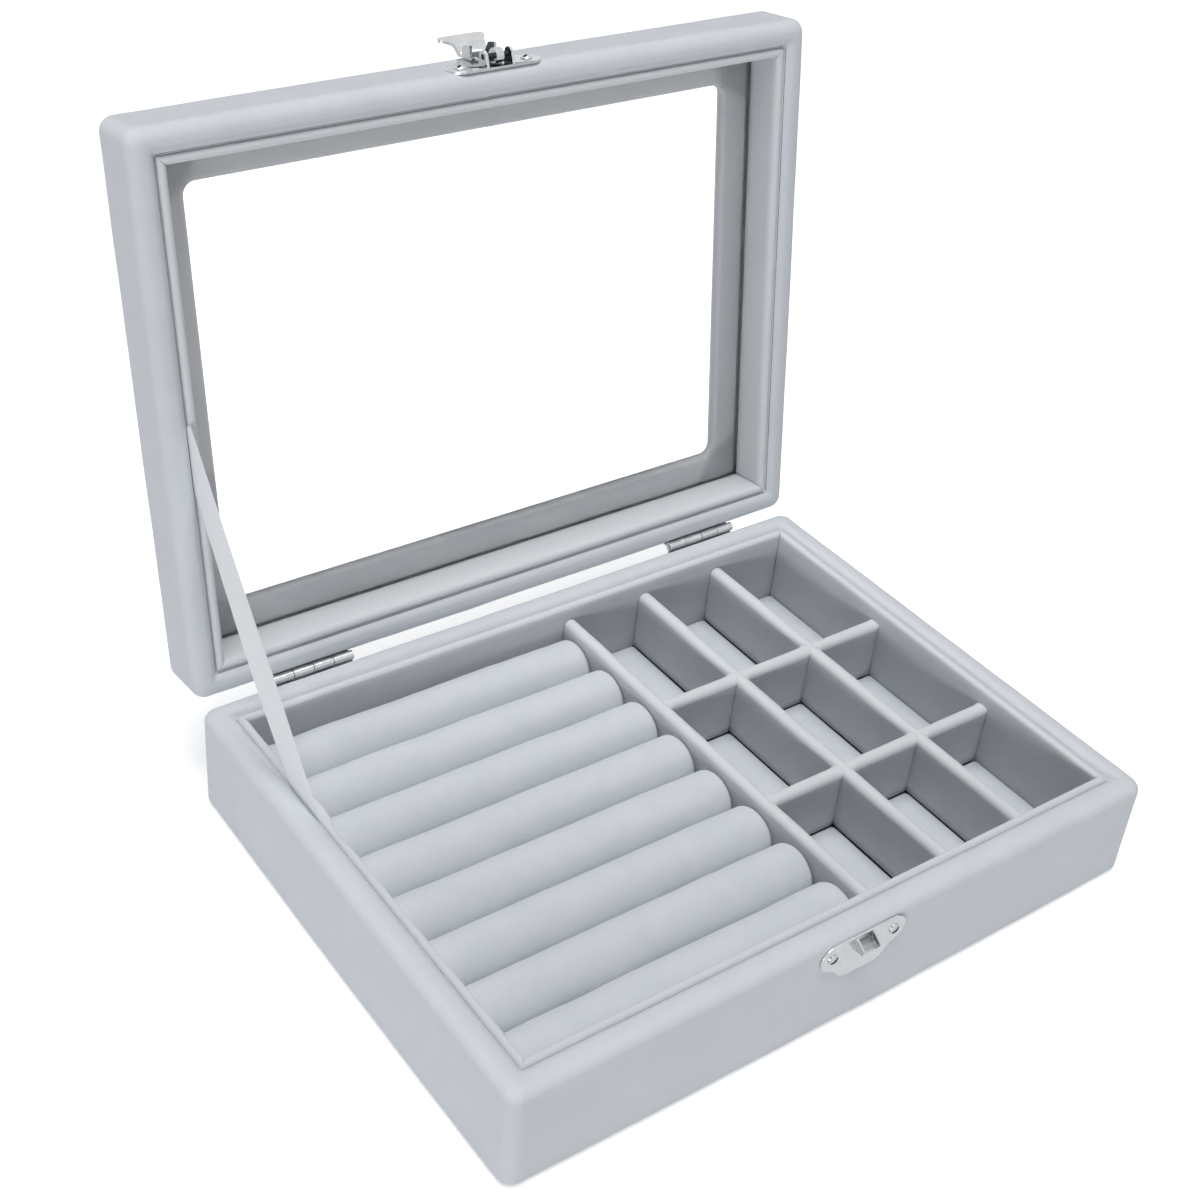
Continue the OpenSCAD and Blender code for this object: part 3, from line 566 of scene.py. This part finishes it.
def look():
    """Camera matrix from the view's azimuth, elevation and roll, and the offset of the view's centre."""
    azimuth, elevation, roll = map(math.radians, (-38.481, 35.519, 5.543))
    offset = np.array([19.784, -39.153, 486.428])
    ahead = np.array([-math.sin(azimuth) * math.cos(elevation), math.cos(azimuth) * math.cos(elevation),
                      -math.sin(elevation)])
    level = np.cross(ahead, [0, 0, 1])
    level /= np.linalg.norm(level)
    above = np.cross(level, ahead)
    right = math.cos(roll) * level + math.sin(roll) * above
    up = -math.sin(roll) * level + math.cos(roll) * above
    place = np.array([0, 0, 29.8]) - offset @ np.array([right, up, ahead])
    turn = np.column_stack([right, up, -ahead])
    return Matrix([[*turn[k], place[k] * 0.001] for k in range(3)] + [[0, 0, 0, 1]])


camera = bpy.data.objects.new("camera", bpy.data.cameras.new("camera"))
camera.data.sensor_width = 36.0
camera.data.lens = 55.497
camera.data.clip_start, camera.data.clip_end = 0.01, 20.0
camera.matrix_world = look()
bpy.context.scene.collection.objects.link(camera)
bpy.context.scene.camera = camera


# Velvet of the base

def corner_radius(d):
    """Corner radius of the wraps in plan: soft outside, tight at the groove, and the window's own inside."""
    return np.interp(d, [0.0, 3.0, WALL_IN, CARD_IN, 15.0, WINDOW_IN + 0.1], [3.6, 2.0, 0.6, 0.7, 2.2, 3.5])


def bowed(points, amount, low, high):
    """Pushes the outside of the walls out between the corners, most at half length and at low heights.

    The push is amount * (1 - s^2) along the wall times a smooth fall from the height low to the height high.
    """
    x, y, z = np.moveaxis(points, -1, 0)
    near_x, near_y = CASE_W / 2 - np.abs(x), CASE_D / 2 - np.abs(y)
    fall = np.clip((high - z) / (high - low), 0, 1) ** 1.5
    out_y = amount * (1 - (x / (CASE_W / 2)) ** 2) * fall * np.clip(1 - near_y / 3, 0, 1)
    out_x = 0.7 * amount * (1 - (y / (CASE_D / 2)) ** 2) * fall * np.clip(1 - near_x / 3, 0, 1)
    return points + np.stack([np.sign(x) * out_x, np.sign(y) * out_y, 0 * z], -1)


def wrap(line, radii, step, seed, uneven):
    """Velvet carried round the case's walls: a closed profile of insets and heights.

    It is pushed along its normals by small waves, which fade out where it turns down into the groove.
    """
    profile = even_line(rounded_line(line, radii, 8), step)[:-1]
    points = ring_sweep(profile, corner_radius(profile[:, 0]))
    normals = grid_normals(points, True, True)
    soft = uneven * waves(points, 34.0, seed) + 0.35 * uneven * waves(points, 11.0, seed + 1)
    outside = np.clip((GROOVE_FACE - 0.2 - profile[:, :1]) / 2, 0, 1)
    return points + normals * (soft * outside)[..., None]


def base_wrap():
    """Outside wall, soft rim and the turn down into the groove, closed by a return inside the boards."""
    line = [(5.4, 22.0), (5.4, 29.9), (1.1, 29.7), (1.1, 1.8), (6.4, 1.8), (6.4, UNDERSIDE), (0, UNDERSIDE),
            (0, BASE_H), (RIM_TURN, BASE_H), (GROOVE_FACE, BASE_H - GROOVE_DEEP), (GROOVE_FACE, 22.0), (5.4, 22.0)]
    radii = (0, 0, 0, 0, 0, 1.3, 3.3, 2.4, 0.4, 0)
    return bowed(wrap(line, radii, 1.5, 11, WRAP_WAVES), BASE_BOW, 5.0, 24.0)


piece("velvet_wrap_base", [base_wrap()], WRAP_VELVET, "base", ["base_velvet"], rows_closed=True)

SIDES = {FRONT: "front", RIGHT: "right", BACK: "back", LEFT: "left"}
CARD_CLEAR = 0.05
# Depths to which the lid's linings at the back and left are painted lighter, as painted light
LIT_DEPTHS_IN_LID = {BACK: 22.0, LEFT: 10.0}
for side, word in SIDES.items():
    card = waved_card(side_card(side, TRAY_FLOOR + CARD_CLEAR, BASE_H - CARD_DROP), 20 + side)
    if side == LEFT:
        lip = np.clip((card[..., 2] - 20) / 8, 0, 1) * np.clip((card[..., 0] + CASE_W / 2 - CARD_OUT) / 2, 0, 1)
        pucker = np.exp(-((card[..., 1] - 26) / 5.5) ** 2) - 0.5 * np.exp(-((card[..., 1] - 15) / 4.0) ** 2)
        card = card + (0.9 * lip * pucker)[..., None] * np.array([1.0, 0, 0.35])
    # Painted light: the lining's lip is lighter, deeper on the left side
    piece(f"lining_base_{word}", [card], CARD_VELVET, "base", [f"base_{word}_lining"],
          painted_shading=painted_top_light(card, BASE_H - CARD_DROP, 7.0 if side == LEFT else 3.0))


# Ring rolls, dividers and floor pads

def node_box(name):
    """Lowest and highest corners of a node in millimetres."""
    low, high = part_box(name)
    return np.array(low) * 1000, np.array(high) * 1000


for number in range(1, 9):
    low, high = node_box(f"ring_roll_{number}")
    half = (high[1] - low[1]) / 2
    roll = soft_bar(low[0], high[0] + 0.2, (low[1] + high[1]) / 2, half, low[2], high[2], 2.2, 0.3)
    body_part = np.clip((roll[..., 2] - low[2]) / 6, 0, 1)
    lumps = 0.16 * waves(roll, 30.0, 40 + number) + 0.06 * waves(roll, 9.0, 60 + number)
    spread = np.array([0.2, 0.5, 0.9]) * np.sign(roll - (low + high) / 2)
    spread[..., 2] = 0.9
    roll = roll + (lumps * body_part)[..., None] * spread
    made = piece(f"roll_{number}", [roll], ROLL_VELVET, "base", [f"ring_roll_{number}"])


def turned_bar(x, start, end, half, foot, top, end_r, rows=72):
    """The soft bar laid along Y, by trading its X and Y."""
    return soft_bar(start, end, x, half, foot, top, end_r, 0.1, rows)[..., [1, 0, 2]]


low, high = node_box("main_divider")
main = turned_bar((low[0] + high[0]) / 2, low[1] - 0.1, high[1] + 0.1, (high[0] - low[0]) / 2, low[2], high[2], 0.9)
main = main + 0.07 * waves(main, 30.0, 81)[..., None] * np.array([1, 0, 0.6])
# Painted light on the divider's top
piece("divider_main", [main], CARD_VELVET, "base", ["main_divider"], painted_shading=painted_top_light(main, high[2], 3.2))

left_low, left_high = node_box("cell_divider_left")
right_low, right_high = node_box("cell_divider_right")
front_low, front_high = node_box("cell_divider_front")
back_low, back_high = node_box("cell_divider_back")
for name, low, high, seed in (("left", left_low, left_high, 83), ("right", right_low, right_high, 84)):
    long_bar = turned_bar((low[0] + high[0]) / 2, low[1] - 0.1, high[1] + 0.1, (high[0] - low[0]) / 2, low[2],
                          high[2], 0.8, 120)
    long_bar = long_bar + 0.06 * waves(long_bar, 24.0, seed)[..., None] * np.array([1, 0, 0.6])
    # Painted light on the divider's top
    piece(f"divider_{name}", [long_bar], CARD_VELVET, "base", [f"cell_divider_{name}"],
          painted_shading=painted_top_light(long_bar, high[2], 2.8))


def cross_divider(low, high, seed):
    """Divider that meets the long ones: near each, its crown widens into theirs and its foot draws in.

    The widening is 0.9 * exp(-g / 0.7) and the drawing in 0.4 * exp(-(g / 0.45)^2), where g is the distance to
    the long divider's face, so its top runs softly into theirs and a dark line stays in the upright corners.
    """
    faces = np.array([main_face, left_low[0], left_high[0], right_low[0], right_high[0], high[0] + 0.2])
    bar = soft_bar(low[0] - 1.7, high[0] + 0.3, (low[1] + high[1]) / 2, (high[1] - low[1]) / 2, low[2], high[2],
                   0.8, 0.1, 420)
    g = np.abs(bar[..., :1] - faces).min(-1)
    up = np.clip((bar[..., 2] - (high[2] - 2.4)) / 1.6, 0, 1)
    off = bar[..., 1] - (low[1] + high[1]) / 2
    change = 0.9 * np.exp(-g / 0.7) * up * (1 - up * 0.4) - 0.4 * np.exp(-(g / 0.45) ** 2) * (1 - up)
    bar[..., 1] += np.sign(off) * change * np.clip(np.abs(off), 0, 1)
    bar[..., 2] += 0.05 * waves(bar, 20.0, seed)
    return bar


main_face = node_box("main_divider")[1][0]
for name, low, high, seed in (("front", front_low, front_high, 85), ("back", back_low, back_high, 86)):
    bar = cross_divider(low, high, seed)
    # Painted light on the divider's top
    piece(f"divider_{name}", [bar], CARD_VELVET, "base", [f"cell_divider_{name}"],
          painted_shading=painted_top_light(bar, high[2], 2.8))

pad_low, pad_high = node_box("cell_floor_pad")
across = [pad_low[0], left_low[0], left_high[0], right_low[0], right_high[0], pad_high[0]]
along = [pad_low[1], front_low[1], front_high[1], back_low[1], back_high[1], pad_high[1]]
PAD_GAP = 0.03
cushions = [floor_cushion((x0 + PAD_GAP, y0 + PAD_GAP), (x1 - PAD_GAP, y1 - PAD_GAP), pad_low[2],
                          pad_high[2] + 0.1, 0.4)
            for x0, x1 in zip(across[::2], across[1::2]) for y0, y1 in zip(along[::2], along[1::2])]
pads = piece("floor_pads", cushions, ROLL_VELVET, "base", ["cell_floor_pad"])


# Velvet of the lid

def lid_wrap():
    """Groove, soft rim, outside wall, top and the turn round the window's edge, closed inside the boards."""
    line = [(5.4, 41.0), (5.4, 32.6), (1.1, 32.6), (1.1, 48.8), (17.0, 48.8), (17.0, 47.0), (WINDOW_IN, 47.0),
            (WINDOW_IN, LID_TOP), (0, LID_TOP), (0, LID_RIM), (RIM_TURN, LID_RIM),
            (GROOVE_FACE, LID_RIM + GROOVE_DEEP + 0.2), (GROOVE_FACE, 41.0), (5.4, 41.0)]
    radii = (0, 0, 0, 0, 0, 0, 1.7, 3.3, 3.3, 2.4, 0.4, 0)
    return swung(bowed(wrap(line, radii, 1.5, 31, WRAP_WAVES), LID_BOW, 40.0, 60.0))


piece("velvet_wrap_lid", [lid_wrap()], WRAP_VELVET, "lid", ["lid_velvet"], rows_closed=True)


def window_facing():
    """Facing round the window, seen through the pane: a soft inner edge, and in each corner a patch, painted darker
    as shade.

    With the insets a and b from the sides, a patch ends at the lines a = 23 - 0.48 * (b - 9.4) and the same with
    a and b traded. The face sinks along them by 0.5 * exp(-(w / 0.5)^2), where w is the distance to the line.
    The outer edge runs under the front and back linings. The share that is in a patch is given too, for its painted
    shade.
    """
    inner, near, far = WINDOW_IN + 0.08, PANE_OUT + 0.03, 48.2
    line = [(FACING_OUT, far), (inner, far), (inner, near), (FACING_OUT, near), (FACING_OUT, far)]
    profile = even_line(rounded_line(line, (0, 1.3, 0.4), 8), 1.1)[:-1]
    corner = np.interp(profile[:, 0], [FACING_OUT, 15, 18], [0.8, 2.2, 3.5])
    points = ring_sweep(profile, corner, side_n=230, arc_n=15)
    x, y, z = np.moveaxis(points, -1, 0)
    a, b = CASE_W / 2 - np.abs(x), CASE_D / 2 - np.abs(y)
    w = (np.maximum(a + 0.48 * b, b + 0.48 * a) - (23 + 0.48 * CARD_IN)) / 1.11
    face = np.clip((47.0 - z) / 0.8, 0, 1)
    z = z + (0.5 * np.exp(-(w / 0.5) ** 2) * ((a < 18.6) | (b < 18.6)) + 0.05 + 0.05 * waves(points, 22.0, 91)) * face
    under = np.clip(10.6 - np.minimum(a, b), 0, 1) * np.clip((a - 10) / 3, 0, 1)
    y = y + np.sign(y) * 0.35 * under
    return swung(np.stack([x, y, z], -1)), np.clip(0.5 - w / 1.2, 0, 1)


# Painted shade in the facing's corner patches
facing, corner_shade = window_facing()
piece("window_facing", [facing], FACING_VELVET, "lid", ["window_board"], rows_closed=True, painted_shading=corner_shade)

for side, word in SIDES.items():
    card = waved_card(side_card(side, PANE_IN - CARD_CLEAR, LID_RIM + CARD_DROP), 70 + side)
    deep = LIT_DEPTHS_IN_LID.get(side, 2.4)
    # The lid's front lining faces down with the lid open and takes the painted shade copy
    lining_shading = SHADED_VELVET if side == FRONT else CARD_VELVET
    # Painted light at the lining's lip, deeper at the back and left
    piece(f"lining_lid_{word}", [swung(card)], lining_shading, "lid", [f"lid_{word}_lining"],
          painted_shading=painted_top_light(-card, -LID_RIM - CARD_DROP, deep))


# Ribbon

def ribbon_strip():
    """Taut ribbon: a flat oval section carried along a nearly straight path from groove to groove.

    The path bows sideways and forwards by a small sine between its ends, and the section's width lies in the
    plane of the grooves, square to the path. Towards the lid the ribbon curls in to 0.81 of its width, and it
    is gathered to 0.86 of it at the base's groove, where its back edge stays straight.
    """
    head = swung(np.array([0.0, RIBBON_HEAD[0], RIBBON_HEAD[1]]))[1:]
    foot = np.array(RIBBON_FOOT)
    free = np.linalg.norm(head - foot)
    way = (head - foot) / free
    t = np.linspace(-RIBBON_TUCK, free + RIBBON_TUCK, 90)
    share = np.clip(t / free, 0, 1)
    bow = np.sin(math.pi * share)
    side = np.array([-way[1], way[0]])
    path = foot + way * t[:, None] + side * (-0.9 * bow)[:, None]
    a = np.linspace(0, 2 * math.pi, 40, endpoint=False)
    up, down = np.clip((share - 0.25) / 0.75, 0, 1), np.clip(1 - share / 0.42, 0, 1)
    curled, gathered = 0.19 * up * up * (3 - 2 * up), 0.14 * down * down * (3 - 2 * down)
    wide = RIBBON_W / 2 * np.sign(np.cos(a)) * np.abs(np.cos(a)) ** 0.55
    thick = RIBBON_T / 2 * np.sin(a)
    cup = (0.35 * (1 - (wide / (RIBBON_W / 2)) ** 2) + 1.1 * curled[:, None] * (wide / 6) ** 2) * bow[:, None]
    wide = wide * (1 - curled - gathered)[:, None] - (RIBBON_W / 2 * gathered)[:, None]
    x = RIBBON_X + thick + cup * 0.8 - 0.25 * bow[:, None]
    y = path[:, :1] + side[0] * wide
    z = path[:, 1:] + side[1] * wide
    return np.stack([x, y, z], -1), (foot, head, free)


strip, (foot, head, free) = ribbon_strip()
made = piece("ribbon", [shrink_to_middle(strip, 1)], SATIN, None, ["ribbon_stay"])


def add_weave_map(made, foot, head, free):
    """The ribbon's map, worked out from each vertex: across its width, and along its way in widths."""
    mesh = made.data
    points = np.zeros(len(mesh.vertices) * 3)
    mesh.vertices.foreach_get("co", points)
    flat = points.reshape(-1, 3)[:, 1:] * 1000 - foot
    way = (head - foot) / free
    v = flat @ way / RIBBON_W
    bow = np.sin(math.pi * np.clip(v * RIBBON_W / free, 0, 1))
    u = flat @ np.array([-way[1], way[0]]) / RIBBON_W + 0.5 + 0.08 * bow
    at = np.zeros(len(mesh.loops), int)
    mesh.loops.foreach_get("vertex_index", at)
    layer = mesh.uv_layers.new(name="weave")
    layer.data.foreach_set("uv", np.stack([u[at], v[at]], -1).ravel())


add_weave_map(made, foot, head, free)
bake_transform(made)


# Fittings, boards, pane and sheet

def nose_inside(points, normals):
    """Faces of the hollow in the catch's nose: its curved floor, its cheeks and the plate behind it, which take
    painted shade.
    """
    out, z = -CASE_D / 2 - points[:, 1], points[:, 2]
    faced = (normals[:, 0] * np.sign(points[:, 0]) < -0.5) | (normals[:, 2] > 0.3) & (np.abs(points[:, 0]) < 2.25)
    return faced & (out > PLATE_T + 0.02) & (out < 3.15) & (z > 24.9) & (z < 28.3) & (np.abs(points[:, 0]) < 2.4)


def slot_inside(points, ear_z):
    """Faces in and along the slots of a clasp plate's two screws, with the lid shut, which take painted shade."""
    out = -CASE_D / 2 - points[:, 1]
    x, z = points[:, 0] - np.sign(points[:, 0]) * EAR_X, points[:, 2] - ear_z
    off = np.abs(z * math.cos(SLOT_TURN) - x * math.sin(SLOT_TURN))
    return (np.hypot(x, z) < 1.15) & (off < 0.42) & (out > PLATE_T + 0.35)


def lugs_inside(points, normals):
    """Faces of the lid plate's two lugs that look at each other, which take painted shade."""
    points, normals = shut(points), shut_way(normals)
    return (normals[:, 0] * np.sign(points[:, 0]) < -0.5) & (-CASE_D / 2 - points[:, 1] > PLATE_T + 0.1)


def tongue_inside(points, normals):
    """Faces of the tongue's hollow body: its cheeks' insides and the web between them, which take painted shade."""
    points, normals = shut(points), shut_way(normals)
    x, z = points[:, 0], 2 * TONGUE_Z - points[:, 2]
    cheeks = (normals[:, 0] * np.sign(x) < -0.5) & (np.abs(x) > 3)
    web = (normals[:, 1] < -0.5) & (np.abs(x) < 3.5)
    return (cheeks | web) & (z > 24.5) & (z < 32.5)


SHADE_TESTS = {"catch_plate": nose_inside, "clasp_lid_plate": lugs_inside, "clasp_tongue": tongue_inside,
           "catch_screws": lambda points, normals: slot_inside(points, CATCH_EAR_Z),
           "clasp_lid_screws": lambda points, normals: slot_inside(shut(points), LID_EAR_Z)}

for node, body, width in (("catch_plate", "base", 0.16), ("catch_screws", "base", 0.12),
                          ("left_hinge_base_leaf", "base", 0.12), ("right_hinge_base_leaf", "base", 0.12),
                          ("hinge_base_screws", "base", 0.1), ("left_hinge_lid_leaf", "lid", 0.12),
                          ("right_hinge_lid_leaf", "lid", 0.12), ("hinge_lid_screws", "lid", 0.1),
                          ("clasp_lid_plate", "lid", 0.14), ("clasp_lid_screws", "lid", 0.12),
                          ("clasp_tongue", "tongue", 0.14)):
    made = eased_copy(node, PLATED, body, width)
    # Painted shade: darker finishes on the nose's hollow and on the clasp's slots and insides
    if node in SHADE_TESTS:
        shade_faces(made, NOSE_SHADE_METAL if node == "catch_plate" else SLOT_SHADE_METAL, SHADE_TESTS[node])

# The clasp's pin is near black, painted shade in its knuckle
FINISHES = {"glass_pane": GLASS, "base_under_sheet": PAPER, "left_hinge_pin": PLATED, "right_hinge_pin": PLATED,
            "clasp_pin": SLOT_SHADE_METAL}
for name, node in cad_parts.items():
    if not node.hide_render:
        node.data.materials.clear()
        node.data.materials.append(FINISHES.get(name, BOARD))


# Floor, world and lights

FLOOR_LIFT, GLOSSY_LIFT = 0.5, 0.1
DOME = 0.14


def stage_floor():
    """Wide pale floor: a plain sheet that keeps the shadow, a little lighter to the eye and in reflections."""
    edge = 3.0
    mesh = bpy.data.meshes.new("floor")
    mesh.from_pydata([(-edge, -edge, 0), (edge, -edge, 0), (edge, edge, 0), (-edge, edge, 0)], [], [(0, 1, 2, 3)])
    finish, tree, skin = new_material("pale floor")
    skin.inputs["Base Color"].default_value = (0.86, 0.87, 0.88, 1.0)
    skin.inputs["Roughness"].default_value = 0.9
    skin.inputs["Specular IOR Level"].default_value = 0.1
    rays = node_in(tree, "ShaderNodeLightPath")
    seen = maths(tree, "MAXIMUM", rays.outputs["Is Camera Ray"], rays.outputs["Is Transmission Ray"])
    gleam = maths(tree, "MULTIPLY", rays.outputs["Is Glossy Ray"], GLOSSY_LIFT)
    skin.inputs["Emission Color"].default_value = (1.0, 1.0, 1.0, 1.0)
    tree.links.new(maths(tree, "MULTIPLY_ADD", seen, FLOOR_LIFT, gleam), skin.inputs["Emission Strength"])
    mesh.materials.append(finish)
    floor = bpy.data.objects.new("floor", mesh)
    bpy.context.scene.collection.objects.link(floor)


def studio_world():
    """White to the eye and in reflections, and a softer dome for the light that falls on the box."""
    world = bpy.data.worlds.new("studio")
    bpy.context.scene.world = world
    world.use_nodes = True
    tree = world.node_tree
    tree.nodes.clear()
    rays = node_in(tree, "ShaderNodeLightPath")
    seen = maths(tree, "MAXIMUM", rays.outputs["Is Camera Ray"], rays.outputs["Is Glossy Ray"])
    seen = maths(tree, "MAXIMUM", seen, rays.outputs["Is Transmission Ray"])
    dome = node_in(tree, "ShaderNodeBackground", Color=(0.975, 0.988, 1.0, 1.0), Strength=DOME)
    white = node_in(tree, "ShaderNodeBackground", Color=(1.0, 1.0, 1.0, 1.0), Strength=1.0)
    both = tree.nodes.new("ShaderNodeMixShader")
    tree.links.new(seen, both.inputs[0])
    tree.links.new(dome.outputs[0], both.inputs[1])
    tree.links.new(white.outputs[0], both.inputs[2])
    out = tree.nodes.new("ShaderNodeOutputWorld")
    tree.links.new(both.outputs[0], out.inputs["Surface"])


def soft_box(name, place, target, width, height, power):
    """A flat lamp that faces a target."""
    data = bpy.data.lights.new(name, "AREA")
    data.shape = "RECTANGLE"
    data.size, data.size_y = width, height
    data.energy = power
    lamp = bpy.data.objects.new(name, data)
    bpy.context.scene.collection.objects.link(lamp)
    back = np.array(place, float) - np.array(target, float)
    back /= np.linalg.norm(back)
    side = np.cross([0, 0.1, 1], back)
    side /= np.linalg.norm(side)
    turn = np.column_stack([side, np.cross(back, side), back])
    lamp.matrix_world = Matrix([[*turn[k], place[k]] for k in range(3)] + [[0, 0, 0, 1]])
    return lamp


stage_floor()
studio_world()
soft_box("overhead", (-0.1, -0.12, 2.4), (0, 0, 0), 1.5, 1.5, 50.0)
soft_box("low front left", (-2.2, -1.7, 0.24), (0, 0, 0.08), 1.8, 0.36, 27.0)

bpy.context.scene.view_settings.view_transform = "Standard"
bpy.context.view_layer.update()


def corners(pair):
    """The two corners of a box as plain lists."""
    return [[float(v) for v in corner] for corner in pair]
